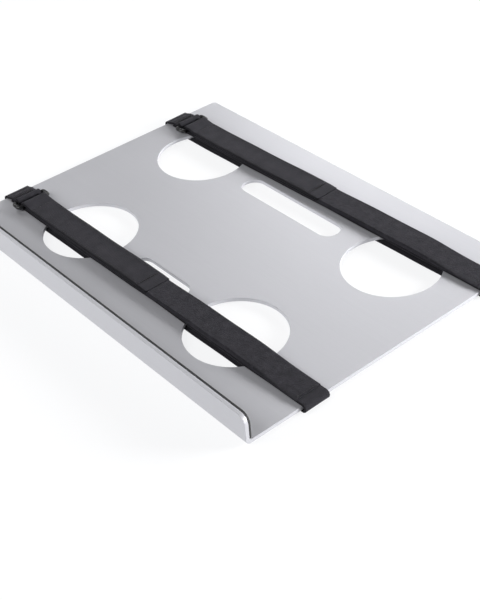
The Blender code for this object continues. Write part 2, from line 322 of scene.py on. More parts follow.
# ---------------------------------------------------------------- materials
def anodised_aluminium():
    """Clear anodised sheet: fine blasted grain, faint rolling lines, patches of handling."""
    skin = Shader("anodised_aluminium")
    skin.set("Metallic", 0.4)
    place = skin.place()
    grain = skin.noise(place, scale=5200.0, detail=2.0, roughness=0.6)
    lines = skin.noise(skin.scaled(place, (14.0, 900.0, 900.0)), scale=1.0, detail=3.0, roughness=0.65)
    patches = skin.noise(place, scale=16.0, detail=3.0, roughness=0.55)
    tone = skin.math("ADD", skin.math("MULTIPLY", lines, 0.5), skin.math("MULTIPLY", grain, 0.5))
    skin.put(skin.ramp(tone, (0.480, 0.482, 0.516), (0.558, 0.560, 0.588)), "Base Color")
    uneven = skin.math("ADD", skin.math("MULTIPLY", patches, 0.10), skin.math("MULTIPLY", lines, 0.08))
    skin.put(skin.remap(uneven, (0.04, 0.14), (0.40, 0.50)), "Roughness")
    skin.bump(skin.math("ADD", grain, skin.math("MULTIPLY", lines, 0.35)), strength=0.12, distance=0.00004)
    return skin.material


def deburred_edge():
    """The narrow broken edges: the same metal, rubbed brighter, with small nicks."""
    skin = Shader("deburred_edge")
    skin.set("Metallic", 1.0)
    place = skin.place()
    nicks = skin.noise(place, scale=1400.0, detail=3.0, roughness=0.7)
    skin.put(skin.ramp(nicks, (0.52, 0.53, 0.55), (0.66, 0.665, 0.68)), "Base Color")
    skin.put(skin.remap(nicks, (0.3, 0.7), (0.30, 0.46)), "Roughness")
    skin.bump(nicks, strength=0.25, distance=0.00005)
    return skin.material


def woven():
    """Nylon webbing: cords along the band, each pressed under every second weft thread.

    The selvedges carry painted shade: their colour is darkened to stand for the shadow on the strap's
    sides.
    """
    skin = Shader("webbing")
    place = skin.weave_place()
    across, along, _ = skin.split(place)
    cord = skin.math("DIVIDE", across, WARP_PITCH)
    shift = skin.math("MULTIPLY", skin.math("MODULO", skin.math("FLOOR", cord), 2.0), 0.5)
    pick = skin.math("ADD", skin.math("DIVIDE", along, WEFT_PITCH), shift)
    crown = skin.math("ABSOLUTE", skin.math("SINE", skin.math("MULTIPLY", cord, math.pi)))
    over = skin.math("ABSOLUTE", skin.math("SINE", skin.math("MULTIPLY", pick, math.pi)))
    shape = skin.math("MULTIPLY", skin.math("POWER", crown, 0.6), skin.math("MULTIPLY_ADD", over, 0.5, 0.5))
    fibre = skin.noise(skin.scaled(place, (9000.0, 1500.0, 1.0)), scale=1.0, detail=2.0, roughness=0.6)
    patches = skin.noise(place, scale=110.0, detail=4.0, roughness=0.6)
    tone = skin.math("MULTIPLY_ADD", shape, 0.45, skin.math("MULTIPLY", fibre, 0.25))
    tone = skin.math("MULTIPLY_ADD", patches, 0.45, tone)
    selvedge = math.pi * WEBBING / 2
    face = STRAP_WIDTH - WEBBING
    # painted shade: both selvedges' colour is cut to 30 %, to stand for the shadow on the strap's sides
    side = skin.math("LESS_THAN", skin.math("MODULO", across, face + selvedge), selvedge)
    painted_side_shade = skin.math("MULTIPLY_ADD", side, -0.7, 1.0)
    tone = skin.math("MULTIPLY", skin.remap(tone, (0.38, 0.82)), painted_side_shade)
    skin.put(skin.ramp(tone, STRAP_DARK, STRAP_LIGHT), "Base Color")
    skin.put(skin.remap(fibre, (0.3, 0.7), (0.81, 0.95)), "Roughness")
    skin.set("Sheen Weight", 0.07)
    skin.set("Sheen Roughness", 0.45)
    skin.set("Sheen Tint", SHEEN_TINT)
    skin.set("Specular IOR Level", 0.15)
    skin.bump(skin.math("MULTIPLY_ADD", fibre, 0.2, shape), strength=0.9, distance=WEAVE_DEPTH)
    return skin.material


def loop_pile():
    """Brushed nylon loops, laid over in patches."""
    skin = Shader("loop_pile")
    skin.set("Roughness", 0.95)
    place = skin.weave_place()
    loops = skin.cells(place, scale=2300.0)
    lay = skin.noise(skin.scaled(place, (420.0, 210.0, 1.0)), scale=1.0, detail=4.0, roughness=0.65)
    patches = skin.noise(place, scale=120.0, detail=4.0, roughness=0.6)
    tone = skin.math("MULTIPLY_ADD", lay, 0.45, skin.math("MULTIPLY", loops, 0.35))
    tone = skin.math("MULTIPLY_ADD", patches, 0.4, tone)
    skin.put(skin.ramp(skin.remap(tone, (0.36, 0.78)), STRAP_DARK, STRAP_LIGHT), "Base Color")
    skin.set("Sheen Weight", 0.08)
    skin.set("Sheen Roughness", 0.4)
    skin.set("Sheen Tint", SHEEN_TINT)
    skin.set("Specular IOR Level", 0.15)
    skin.bump(skin.math("MULTIPLY_ADD", lay, 0.8, loops), strength=1.0, distance=0.00022)
    return skin.material


def hook_ground():
    """The flat moulded ground that the hooks stand on."""
    skin = Shader("hook_ground")
    place = skin.weave_place()
    grain = skin.noise(place, scale=2600.0, detail=2.0, roughness=0.5)
    skin.put(skin.ramp(grain, (0.014, 0.014, 0.016), (0.030, 0.030, 0.033)), "Base Color")
    skin.put(skin.remap(grain, (0.3, 0.7), (0.55, 0.72)), "Roughness")
    skin.set("Specular IOR Level", 0.25)
    skin.bump(grain, strength=0.4, distance=0.00006)
    return skin.material


def moulded_plastic():
    """Black acetal ring: slightly orange-peeled, with faint rubbed streaks."""
    skin = Shader("buckle_plastic")
    place = skin.place()
    peel = skin.noise(place, scale=700.0, detail=2.0, roughness=0.5)
    rub = skin.noise(skin.scaled(place, (2600.0, 300.0, 2600.0)), scale=1.0, detail=3.0, roughness=0.6)
    skin.put(skin.ramp(rub, (0.010, 0.010, 0.011), (0.028, 0.028, 0.030)), "Base Color")
    skin.put(skin.remap(rub, (0.3, 0.7), (0.18, 0.36)), "Roughness")
    skin.bump(peel, strength=0.25, distance=0.00008)
    return skin.material


def liner_rubber():
    """Thin closed-cell rubber strip with a cut edge."""
    skin = Shader("liner_rubber")
    place = skin.place()
    grain = skin.noise(place, scale=2600.0, detail=3.0, roughness=0.6)
    dust = skin.noise(place, scale=90.0, detail=4.0, roughness=0.6)
    tone = skin.math("MULTIPLY_ADD", dust, 0.6, skin.math("MULTIPLY", grain, 0.4))
    skin.put(skin.ramp(tone, (0.010, 0.010, 0.011), (0.034, 0.034, 0.036)), "Base Color")
    skin.put(skin.remap(grain, (0.3, 0.7), (0.62, 0.80)), "Roughness")
    skin.bump(grain, strength=0.5, distance=0.00008)
    return skin.material


def sewing_thread():
    """Two-ply twisted polyester."""
    skin = Shader("thread")
    skin.set("Roughness", 0.58)
    place = skin.weave_place()
    across, along, _ = skin.split(place)
    turn = skin.math("ADD", skin.math("MULTIPLY", across, 2600.0), skin.math("MULTIPLY", along, 9000.0))
    twist = skin.math("ABSOLUTE", skin.math("SINE", turn))
    skin.put(skin.ramp(twist, (0.006, 0.006, 0.007), (0.026, 0.025, 0.029)), "Base Color")
    skin.set("Sheen Weight", 0.08)
    skin.set("Specular IOR Level", 0.2)
    skin.bump(twist, strength=0.7, distance=0.00006)
    return skin.material


# ---------------------------------------------------------------- outlines
def arc(centre, radius, start, end, steps):
    """Points on an arc, from the start angle to the end angle in degrees."""
    points = []
    for step in range(steps + 1):
        angle = math.radians(start + (end - start) * step / steps)
        points.append((centre[0] + radius * math.cos(angle), centre[1] + radius * math.sin(angle)))
    return points


def ease(start, end, steps):
    """Points of a gentle S from one level to another."""
    points = []
    for step in range(steps + 1):
        share = step / steps
        rise = share * share * (3 - 2 * share)
        points.append((start[0] + (end[0] - start[0]) * share, start[1] + (end[1] - start[1]) * rise))
    return points


def topped_outline(half_width, low, high, corner):
    """A rectangle whose two upper corners are round."""
    right = arc((half_width - corner, high - corner), corner, 0, 90, CORNER_STEPS)
    left = arc((corner - half_width, high - corner), corner, 90, 180, CORNER_STEPS)
    return [(-half_width, low), (half_width, low)] + right + left


def slot_outline(x, y, length, width):
    """A round-ended slot along X."""
    reach = (length - width) / 2
    right = arc((x + reach, y), width / 2, -90, 90, SLOT_END_STEPS)
    left = arc((x - reach, y), width / 2, 90, 270, SLOT_END_STEPS)
    return right + left


# ---------------------------------------------------------------- mesh helpers
def add(name, mesh, *materials):
    """A new object in the scene, with its materials."""
    item = bpy.data.objects.new(name, mesh)
    bpy.context.scene.collection.objects.link(item)
    for finish in materials:
        mesh.materials.append(finish)
    return item


def applied(item, *materials):
    """The object with its modifiers applied, as a new object of the same name."""
    bpy.context.view_layer.update()
    result = item.evaluated_get(bpy.context.evaluated_depsgraph_get())
    mesh = bpy.data.meshes.new_from_object(result)
    name = item.name
    bpy.data.objects.remove(item)
    mesh.name = name
    mesh.materials.clear()
    return add(name, mesh, *materials)


def prism(name, outline, thickness, upright=False):
    """A flat outline with thickness about its plane: level, or upright in the XZ plane."""
    body = bmesh.new()
    rim = [body.verts.new((across, along, -thickness / 2)) for across, along in outline]
    face = body.faces.new(rim)
    lifted = bmesh.ops.extrude_face_region(body, geom=[face])
    top = [part for part in lifted["geom"] if isinstance(part, bmesh.types.BMVert)]
    bmesh.ops.translate(body, verts=top, vec=(0.0, 0.0, thickness))
    if upright:
        bmesh.ops.rotate(body, verts=body.verts, matrix=Matrix.Rotation(math.radians(90), 3, "X"))
    bmesh.ops.recalc_face_normals(body, faces=body.faces)
    mesh = bpy.data.meshes.new(name)
    body.to_mesh(mesh)
    body.free()
    return mesh


def carve(item, mesh, operation):
    """Cut with a mesh, or keep only what is inside it. The tool stays until the cut is applied."""
    tool = add(mesh.name, mesh)
    cut = item.modifiers.new(mesh.name, "BOOLEAN")
    cut.operation = operation
    cut.solver = "EXACT"
    cut.object = tool
    return tool


def soften(item, width, segments, material=-1):
    """Round the sharp edges. The rounding may have a material of its own."""
    edges = item.modifiers.new("edges", "BEVEL")
    edges.width = width
    edges.segments = segments
    edges.limit_method = "ANGLE"
    edges.angle_limit = math.radians(SHARP_ANGLE)
    edges.material = material


def smooth(item, angle):
    """Shade smooth across edges flatter than this angle in degrees."""
    item.data.shade_smooth()
    item.data.set_sharp_from_angle(angle=math.radians(angle))


def outward(mesh):
    """Turn every face to look outwards."""
    body = bmesh.new()
    body.from_mesh(mesh)
    bmesh.ops.recalc_face_normals(body, faces=body.faces)
    body.to_mesh(mesh)
    body.free()


def band_mesh(name, centres, sections, uv_rings, uv_along, cyclic=False):
    """A skin through closed sections. centres and sections are arrays: station, point, xyz."""
    stations, points = sections.shape[:2]
    places = (centres[:, None, :] + sections).reshape(-1, 3)
    faces = []
    loops = []
    rows = stations if cyclic else stations - 1
    for row in range(rows):
        after = (row + 1) % stations
        for column in range(points):
            beside = (column + 1) % points
            corner = (row * points + column, row * points + beside)
            faces.append((*corner, after * points + beside, after * points + column))
            left, right = uv_rings[column], uv_rings[column + 1]
            low, high = uv_along[row], uv_along[row + 1]
            loops += [(left, low), (right, low), (right, high), (left, high)]
    if not cyclic:
        first = tuple(reversed(range(points)))
        last = tuple(range((stations - 1) * points, stations * points))
        faces += [first, last]
        loops += [(uv_rings[index], uv_along[0]) for index in first]
        loops += [(uv_rings[index - last[0]], uv_along[-1]) for index in last]
    mesh = bpy.data.meshes.new(name)
    mesh.from_pydata(places.tolist(), [], faces)
    layer = mesh.uv_layers.new(name="band")
    layer.data.foreach_set("uv", np.array(loops, dtype=np.float32).ravel())
    mesh.update()
    outward(mesh)
    return mesh


def skin_mesh(name, centre, sections, ring, along):
    """A band_mesh along a path in the XZ plane, its map running round the ring and along the path."""
    centres = np.stack([centre[:, 0], np.zeros(len(centre)), centre[:, 1]], 1)
    closed = np.concatenate([ring, ring[:1]])
    sides = np.linalg.norm(np.diff(closed, axis=0), axis=1)
    around = np.concatenate([[0.0], np.cumsum(sides)])
    return band_mesh(name, centres, sections, around, along)


# ---------------------------------------------------------------- tray
def tray_plate(metal, edge):
    """The folded sheet again, with fine round holes and rounded edges."""
    bend = BEND_INNER + SHEET / 2
    lip_y = LIP_FACE_Y + SHEET / 2
    fold = arc((lip_y + bend, PLATE_MIDDLE + bend), bend, 180, 270, steps=16)
    section = [(lip_y, LIP_TOP + TRIM)] + fold + [(BACK_Y + TRIM, PLATE_MIDDLE)]
    body = bmesh.new()
    rows = [[body.verts.new((x, y, z)) for y, z in section] for x in (-EDGE_X - TRIM, EDGE_X + TRIM)]
    for index in range(len(section) - 1):
        body.faces.new((rows[0][index], rows[0][index + 1], rows[1][index + 1], rows[1][index]))
    mesh = bpy.data.meshes.new("tray")
    body.to_mesh(mesh)
    body.free()
    item = add("tray", mesh)
    shell = item.modifiers.new("thickness", "SOLIDIFY")
    shell.thickness = SHEET
    shell.offset = 0.0
    shell.use_even_offset = True

    # cutting tools that reach well past the sheet
    depth = BACK_Y - LIP_FACE_Y
    tools = []
    outline = topped_outline(EDGE_X, -LIP_TOP, LIP_TOP, LIP_CORNER)
    tools.append(carve(item, prism("elevation", outline, 2 * depth, upright=True), "INTERSECT"))
    outline = topped_outline(EDGE_X, -depth, BACK_Y, BACK_CORNER)
    tools.append(carve(item, prism("plan", outline, 4 * LIP_TOP), "INTERSECT"))
    for row, x, distance in (("front", FRONT_HOLE_X, FRONT_ROW), ("rear", REAR_HOLE_X, REAR_ROW)):
        for sign in (-1, 1):
            outline = arc((sign * x, from_lip(distance)), HOLE_RADIUS, 0, 360, HOLE_SIDES)[:-1]
            tools.append(carve(item, prism(row + "_hole", outline, 8 * SHEET), "DIFFERENCE"))
    for row, length, distance in (
        ("front", FRONT_SLOT_LENGTH, FRONT_ROW),
        ("rear", REAR_SLOT_LENGTH, REAR_ROW),
    ):
        outline = slot_outline(0.0, from_lip(distance), length, SLOT_WIDTH)
        tools.append(carve(item, prism(row + "_slot", outline, 8 * SHEET), "DIFFERENCE"))
    soften(item, EDGE_BREAK, 2, material=1)
    item.data.materials.append(metal)
    item.data.materials.append(edge)
    item = applied(item, metal, edge)
    for tool in tools:
        bpy.data.objects.remove(tool)
    smooth(item, 35)
    flats = item.modifiers.new("flats", "WEIGHTED_NORMAL")
    flats.weight = 100
    flats.keep_sharp = True
    item = applied(item, metal, edge)
    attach(item, "tray")
    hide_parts("tray_plate")
    return item


def lip_liner(rubber):
    """The strip inside the lip, with a soft cut edge."""
    low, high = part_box("lip_liner")
    outline = topped_outline(EDGE_X - LINER_INSET, low.z, high.z, LIP_CORNER)
    mesh = prism("liner", outline, high.y - low.y + GAP, upright=True)
    middle = (low.y + high.y) / 2 - GAP / 2 + LINER_LIFT
    mesh.transform(Matrix.Translation((0.0, middle, 0.0)))
    item = add("liner", mesh)
    soften(item, LINER_ROUND, 3)
    item = applied(item, rubber)
    smooth(item, 40)
    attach(item, "tray")
    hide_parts("lip_liner")
    return item


# ---------------------------------------------------------------- webbing
def resample(path):
    """The path again with evenly spaced points, and the distance along it."""
    points = np.array(path, float)
    keep = np.ones(len(points), bool)
    keep[1:] = np.linalg.norm(np.diff(points, axis=0), axis=1) > SAME_PLACE
    points = points[keep]
    run = np.concatenate([[0.0], np.cumsum(np.linalg.norm(np.diff(points, axis=0), axis=1))])
    count = max(2, int(math.ceil(run[-1] / MESH_STEP)) + 1)
    along = np.linspace(0.0, run[-1], count)
    return np.stack([np.interp(along, run, points[:, 0]), np.interp(along, run, points[:, 1])], 1), along


def sway(along):
    """How far the webbing wanders sideways over its length."""
    return sum(reach * np.sin(along * turning + phase) for reach, turning, phase in SWAY)


def webbing(name, path, finish, start=0.0, cut_end=False):
    """Webbing along a path in the XZ plane: faces a little hollow, round selvedges, and weft ribs."""
    centre, along = resample(path)
    along = along + start
    tangent = np.gradient(centre, axis=0)
    tangent /= np.linalg.norm(tangent, axis=1)[:, None]
    normal = np.stack([-tangent[:, 1], tangent[:, 0]], 1)
    half, thick = STRAP_WIDTH / 2, WEBBING / 2
    flats = np.linspace(-1, 1, 9)[1:-1]
    edge = np.linspace(-math.pi / 2, math.pi / 2, 7)
    round_right = np.stack([half - thick + thick * np.cos(edge), thick * np.sin(edge)], 1)
    top = np.stack([-flats * (half - thick), np.full(len(flats), thick)], 1)
    ring = np.concatenate([round_right, top, -round_right, -top])
    reach = np.abs(ring[:, 0]) / half
    sign = np.sign(ring)
    rib = RIB_HEIGHT * np.cos(2 * math.pi * along / RIB_PITCH)
    full = np.clip((reach - SELVEDGE_START) / (1 - SELVEDGE_START), 0, 1)
    swell = 1.0 - MIDDLE_THINNING * np.clip(1 - reach, 0, 1) + SELVEDGE_SWELL * full
    # the ribs fade across the faces towards the selvedges, and only the selvedges show them sideways
    height = (ring[:, 1] * swell)[None, :] + rib[:, None] * (sign[:, 1] * (1 - reach * 0.3))[None, :]
    spread = ring[None, :, 0] + rib[:, None] * (sign[:, 0] * reach ** 8)[None, :]
    if cut_end:
        left = np.clip(CUT_CORNER - (along[-1] - along), 0, CUT_CORNER)
        inset = CUT_CORNER - np.sqrt(np.clip(CUT_CORNER ** 2 - left ** 2, 0, None))
        spread = spread * (1 - inset / half)[:, None]
        height = height * (1 - CUT_THINNING * np.clip(left / CUT_CORNER, 0, 1) ** 3)[:, None]
    sections = np.zeros((len(centre), len(ring), 3))
    sections[:, :, 0] = normal[:, 0, None] * height
    sections[:, :, 2] = normal[:, 1, None] * height
    sections[:, :, 1] = spread + sway(along)[:, None]
    item = add(name, skin_mesh(name, centre, sections, ring, along), finish)
    smooth(item, 50)
    return item, along[-1]


def tape(name, path, finish, thickness, width, roughen=0.0, standing=0.0):
    """A sewn-on tape: flat underside, rough upper face. Beyond the tail, pile may stand higher."""
    centre, along = resample(path)
    across = np.linspace(-1, 1, 25)
    half = width / 2
    upper = np.stack([across * half, np.full(len(across), thickness / 2)], 1)
    lower = np.stack([-across * half, np.full(len(across), -thickness / 2)], 1)
    ring = np.concatenate([upper, lower])
    is_upper = ring[:, 1] > 0
    rim = np.clip((np.abs(ring[:, 0]) / half - TAPE_RIM_START) / (1 - TAPE_RIM_START), 0, 1) ** 2
    level = 1 - TAPE_RIM_DROP * rim
    height = np.repeat((ring[:, 1] * level)[None, :], len(centre), 0)
    rough = np.random.default_rng(7).normal(0.0, roughen, height.shape)
    height = height + rough * is_upper[None, :]
    rise = np.clip((centre[:, 0] - TAIL_END_X - STANDING_START) / STANDING_RAMP, 0, 1)
    fall = np.clip((path[-1][0] - centre[:, 0]) / STANDING_FALL, 0, 1)
    lift = standing * rise ** 2 * (3 - 2 * rise) * fall ** 2 * (3 - 2 * fall)
    height = height + lift[:, None] * (is_upper * level)[None, :]
    sections = np.zeros((len(centre), len(ring), 3))
    sections[:, :, 1] = ring[None, :, 0] + sway(along)[:, None]
    sections[:, :, 2] = height
    item = add(name, skin_mesh(name, centre, sections, ring, along), finish)
    smooth(item, 50)
    return item


# ---------------------------------------------------------------- threads
def thread_mesh(name, stitches):
    """Many short level stitches in one mesh, each given by its two ends. It dips in at both."""
    sides, steps = 6, 6
    radius = THREAD_RADIUS
    girth = 6 * radius
    up = Vector((0.0, 0.0, 1.0))
    places = []
    faces = []
    loops = []
    for begin, end in stitches:
        begin, end = Vector(begin), Vector(end)
        run = end - begin
        forward = run.normalized()
        sideways = forward.cross(up)
        base = len(places)
        for step in range(steps + 1):
            share = step / steps
            rise = math.sin(math.pi * share) ** 0.7
            middle = begin + run * share + up * (radius * 2.0 * rise - radius * 1.1)
            thick = radius * (0.75 + 0.25 * rise)
            for side in range(sides):
                angle = 2 * math.pi * side / sides
                out = sideways * (thick * math.cos(angle))
                places.append(middle + out + up * (thick * math.sin(angle)))
        for step in range(steps):
            for side in range(sides):
                after = (side + 1) % sides
                low = base + step * sides
                faces.append((low + side, low + after, low + sides + after, low + sides + side))
                left, right = side / sides * girth, (side + 1) / sides * girth
                start, stop = run.length * step / steps, run.length * (step + 1) / steps
                loops += [(left, start), (right, start), (right, stop), (left, stop)]
        first = tuple(base + side for side in reversed(range(sides)))
        last = tuple(base + steps * sides + side for side in range(sides))
        faces += [first, last]
        loops += [(0.0, 0.0)] * (2 * sides)
    mesh = bpy.data.meshes.new(name)
    mesh.from_pydata([tuple(place) for place in places], [], faces)
    layer = mesh.uv_layers.new(name="band")
    layer.data.foreach_set("uv", np.array(loops, dtype=np.float32).ravel())
    outward(mesh)
    mesh.shade_smooth()
    return mesh


def side_seams(start_x, end_x, z):
    """A straight row of stitches along each edge of a tape."""
    count = round((end_x - start_x) / STITCH_PITCH)
    pitch = (end_x - start_x) / count
    rows = []
    for y in (-SEAM_HALF, SEAM_HALF):
        for index in range(count):
            low = start_x + index * pitch + STITCH_GAP / 2
            rows.append(((low, y, z), (low + pitch - STITCH_GAP, y, z)))
    return rows


def cross_seam(x, z):
    """A straight row of stitches across the strap."""
    count = round(2 * SEAM_HALF / STITCH_PITCH)
    pitch = 2 * SEAM_HALF / count
    row = []
    for index in range(count):
        low = index * pitch + STITCH_GAP / 2 - SEAM_HALF
        row.append(((x, low, z), (x, low + pitch - STITCH_GAP, z)))
    return row


def bar_tack(low_x, high_x, z, legs):
    """A dense zigzag tack, its legs lying along the strap."""
    row = []
    for index in range(legs):
        begin_x, end_x = (low_x, high_x) if index % 2 == 0 else (high_x, low_x)
        begin = (begin_x, 2 * SEAM_HALF * index / legs - SEAM_HALF, z)
        end = (end_x, 2 * SEAM_HALF * (index + 1) / legs - SEAM_HALF, z)
        row.append((begin, end))
    return row


# ---------------------------------------------------------------- buckle ring
def buckle_ring(name, plastic):
    """A moulded rectangular ring with nearly round bars, fuller ends and a faint parting line."""
    left, right = ANCHOR_BAR_X, FOLD_BAR_X
    reach = STRAP_WIDTH / 2 + RING_SIDE_GAP + 2 * BAR_RADIUS
    half = reach - RING_END_RADIUS
    outline = []
    corners = ((right, 1, 1), (left, -1, 1), (left, -1, -1), (right, 1, -1))
    for turn, (x, sign_x, sign_y) in enumerate(corners):
        centre = (x - sign_x * RING_CORNER, sign_y * (half - RING_CORNER))
        outline += arc(centre, RING_CORNER, 90 * turn, 90 * turn + 90, steps=10)
    outline = np.array(outline)
    closed = np.concatenate([outline, outline[:1]])
    run = np.concatenate([[0.0], np.cumsum(np.linalg.norm(np.diff(closed, axis=0), axis=1))])
    stations = 220
    along = np.linspace(0, run[-1], stations + 1)
    path = np.stack([np.interp(along, run, closed[:, 0]), np.interp(along, run, closed[:, 1])], 1)[:-1]
    tangent = np.roll(path, -1, 0) - np.roll(path, 1, 0)
    tangent /= np.linalg.norm(tangent, axis=1)[:, None]
    sideways = np.stack([tangent[:, 1], -tangent[:, 0]], 1)
    share = np.clip((np.abs(path[:, 1]) - (half - RING_CORNER)) / RING_CORNER, 0, 1)
    share = share * share * (3 - 2 * share)
    radius = BAR_RADIUS + (RING_END_RADIUS - BAR_RADIUS) * share
    sides = 28
    angle = np.arange(sides) / sides * 2 * math.pi
    shape_out = np.sign(np.cos(angle)) * np.abs(np.cos(angle)) ** RING_SQUARENESS
    shape_up = np.sign(np.sin(angle)) * np.abs(np.sin(angle)) ** RING_SQUARENESS
    parting = 1.0 + PARTING_HEIGHT * np.exp(-(np.sin(angle) / PARTING_WIDTH) ** 2)
    sections = np.zeros((stations, sides, 3))
    sections[:, :, 0] = sideways[:, 0, None] * (shape_out * parting)[None, :] * radius[:, None]
    sections[:, :, 1] = sideways[:, 1, None] * (shape_out * parting)[None, :] * radius[:, None]
    sections[:, :, 2] = shape_up[None, :] * (BAR_RADIUS + 0.6 * (radius - BAR_RADIUS))[:, None]
    centres = np.stack([path[:, 0], path[:, 1], np.full(stations, BAR_Z)], 1)
    around = np.arange(sides + 1) / sides * RING_MAP_GIRTH
    item = add(name, band_mesh(name, centres, sections, around, along, cyclic=True), plastic)
    smooth(item, 60)
    return item


# ---------------------------------------------------------------- strap
def hooks_mesh(name, low_x, high_x, z):
    """Rows of small moulded hooks that point down, every second row turned round."""
    # from each hook's foot: how far forwards and up, in hook heights, and its lean in degrees
    profile = (
        (0.0, 0.0, 0), (0.0, -0.45, 0), (0.08, -0.80, 35),
        (0.28, -1.0, 80), (0.50, -0.92, 130), (0.58, -0.68, 170),
    )
    sides = 4
    columns = int(TAPE_WIDTH / HOOK_PITCH) - 1
    places = []
    faces = []
    for row in range(int((high_x - low_x) / HOOK_PITCH)):
        turn = 1 if row % 2 == 0 else -1
        x = low_x + (row + 0.5) * HOOK_PITCH
        for column in range(columns):
            y = (column - (columns - 1) / 2 + 0.25 * turn) * HOOK_PITCH
            base = len(places)
            for step, (forward, rise, lean) in enumerate(profile):
                # thinner towards the tip, and wider across the tape than along it
                thick = HOOK_RADIUS * (1.5 - 0.16 * step)
                centre = Vector((x + turn * forward * HOOK_HEIGHT, y, z + rise * HOOK_HEIGHT))
                tilt = math.radians(lean) * turn
                beside = Vector((math.cos(tilt), 0.0, math.sin(tilt)))
                for corner in range(sides):
                    angle = 2 * math.pi * (corner + 0.5) / sides
                    across = Vector((0.0, thick * 1.4 * math.sin(angle), 0.0))
                    places.append(centre + beside * (thick * math.cos(angle)) + across)
            for step in range(len(profile) - 1):
                low = base + step * sides
                for corner in range(sides):
                    after = (corner + 1) % sides
                    faces.append((low + corner, low + after, low + sides + after, low + sides + corner))
            faces.append(tuple(base + corner for corner in reversed(range(sides))))
            faces.append(tuple(base + (len(profile) - 1) * sides + corner for corner in range(sides)))
    mesh = bpy.data.meshes.new(name)
    mesh.from_pydata([tuple(place) for place in places], [], faces)
    outward(mesh)
    mesh.shade_smooth()
    return mesh


def strap_frame(side):
    """The strap's own frame in the world: turned a little from square, as its hinges are."""
    joint = joints[side + "_ring_rock"]
    place = Vector(joint["pos_m"])
    axis = Vector(joint["axis"])
    skew = math.atan2(axis.x, -axis.y)
    middle = Vector((0.0, place.y - place.x * math.tan(skew), 0.0))
    return Matrix.Translation(middle) @ Matrix.Rotation(skew, 4, "Z")


def settle(item, place, slot, *nodes):
    """Put a piece in its strap's place, and hide the model's parts that it stands for. Its slot, what it is
    made of, is not used.
    """
    item.data.transform(place)
    if nodes:
        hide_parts(*nodes)


def bend(place, x, z, offsets):
    """The two ends of a bend near x, in the world."""
    start, end = (tuple(place @ Vector((x + offset, 0.0, z))) for offset in offsets)
    return {"start": start, "end": end}


def strap_band(side, place, finish):
    """Sewn end, anchor loop, left wrap, under-run, right wrap and most of the top run."""
    path = [(SEWN_END_X, TOP_RUN_Z)]
    path += arc((ANCHOR_BAR_X, BAR_Z), FOLD_RADIUS, -90, 90, steps=24)
    path += ease((ANCHOR_BAR_X, BAR_Z + FOLD_RADIUS), (ANCHOR_FLAT_X, ANCHOR_TOP_Z), steps=12)[1:]
    path += ease((SEWN_END_X - GAP, ANCHOR_TOP_Z), (-EDGE_X, TOP_RUN_Z), steps=12)
    path += arc((-EDGE_X, PLATE_MIDDLE), WRAP_RADIUS, 90, 270, steps=24)[1:]
    path += arc((EDGE_X, PLATE_MIDDLE), WRAP_RADIUS, -90, 90, steps=24)
    path.append((BAND_SEAM_X, TOP_RUN_Z))
    item, run = webbing(side + "_webbing", path, finish)
    settle(item, place, "webbing", side + "_strap_band")
    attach(item, side + "_strap")
    return run


def strap_fold(side, place, finish, run):
    """The webbing's turn round the ring's bar: its lower half, then its upper half."""
    path = [(BAND_SEAM_X, TOP_RUN_Z)] + arc((FOLD_BAR_X, BAR_Z), FOLD_RADIUS, 270, 180, steps=16)
    item, run = webbing(side + "_webbing_under_ring", path, finish, start=run)
    settle(item, place, "webbing")
    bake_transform(item)

    path = arc((FOLD_BAR_X, BAR_Z), FOLD_RADIUS, 180, 90, steps=16)
    path += ease((FOLD_BAR_X, BAR_Z + FOLD_RADIUS), (TAIL_FLAT_X, TAIL_Z), steps=14)[1:]
    path.append((TAIL_SEAM_X, TAIL_Z))
    item, run = webbing(side + "_webbing_fold", path, finish, start=run)
    settle(item, place, "webbing", side + "_strap_fold")
    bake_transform(item)
    return run


def strap_tail(side, place, finish, run):
    """The rest of the tail, and the pull end."""
    path = [(TAIL_SEAM_X, TAIL_Z)]
    path += ease((HOOK_END_X + PULL_TACK_LENGTH, TAIL_Z), (TAIL_END_X, TAIL_Z - TAIL_END_DROP), steps=12)
    item, _ = webbing(side + "_webbing_tail", path, finish, start=run, cut_end=True)
    settle(item, place, "webbing", side + "_tail", side + "_pull_end")
    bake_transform(item)


def loop_tape(side, place, finish):
    """The loop tape on the top run."""
    low = TOP_RUN_Z + WEBBING / 2 - SUNK
    depth = LOOP_TAPE_Z + TAPE / 2 - low
    path = [(TAIL_FLAT_X, low + depth / 2), (LOOP_END_X, low + depth / 2)]
    name = side + "_loop_pile"
    item = tape(name, path, finish, depth, STRAP_WIDTH - GAP, PILE_ROUGHNESS, STANDING_PILE)
    settle(item, place, "loop_tape", side + "_loop_tape")
    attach(item, side + "_strap")


def hook_tape(side, place, finish):
    """The hook tape under the tail and the pull end, and its hooks."""
    high = TAIL_Z - WEBBING / 2 + SUNK
    low = high - HOOK_GROUND
    path = [(TAIL_FLAT_X, (high + low) / 2), (HOOK_END_X, (high + low) / 2)]
    ground = tape(side + "_hook_ground", path, finish, HOOK_GROUND, TAPE_WIDTH)
    settle(ground, place, "hook_tape", side + "_tail_hook_tape", side + "_pull_end_hook_tape")
    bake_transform(ground)

    name = side + "_hooks"
    hooks = add(name, hooks_mesh(name, TAIL_FLAT_X + SEAM_END, HOOK_END_X - SEAM_END, low), finish)
    settle(hooks, place, "hook_tape")
    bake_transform(hooks)


def tail_stitches(side, place, thread):
    """The hook tape's seams and the tack at its far end, on the tail's upper face."""
    top = TAIL_Z + WEBBING / 2 + SEAM_PROUD
    stitches = side_seams(TAIL_FLAT_X + SEAM_END, HOOK_END_X - SEAM_END, top)
    stitches += cross_seam(TAIL_FLAT_X + SEAM_END, top)
    stitches += bar_tack(HOOK_END_X, HOOK_END_X + PULL_TACK_LENGTH, top, TAIL_TACK_LEGS)
    name = side + "_tail_stitches"
    item = add(name, thread_mesh(name, stitches), thread)
    settle(item, place, "thread", side + "_pull_end_stitching")
    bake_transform(item)


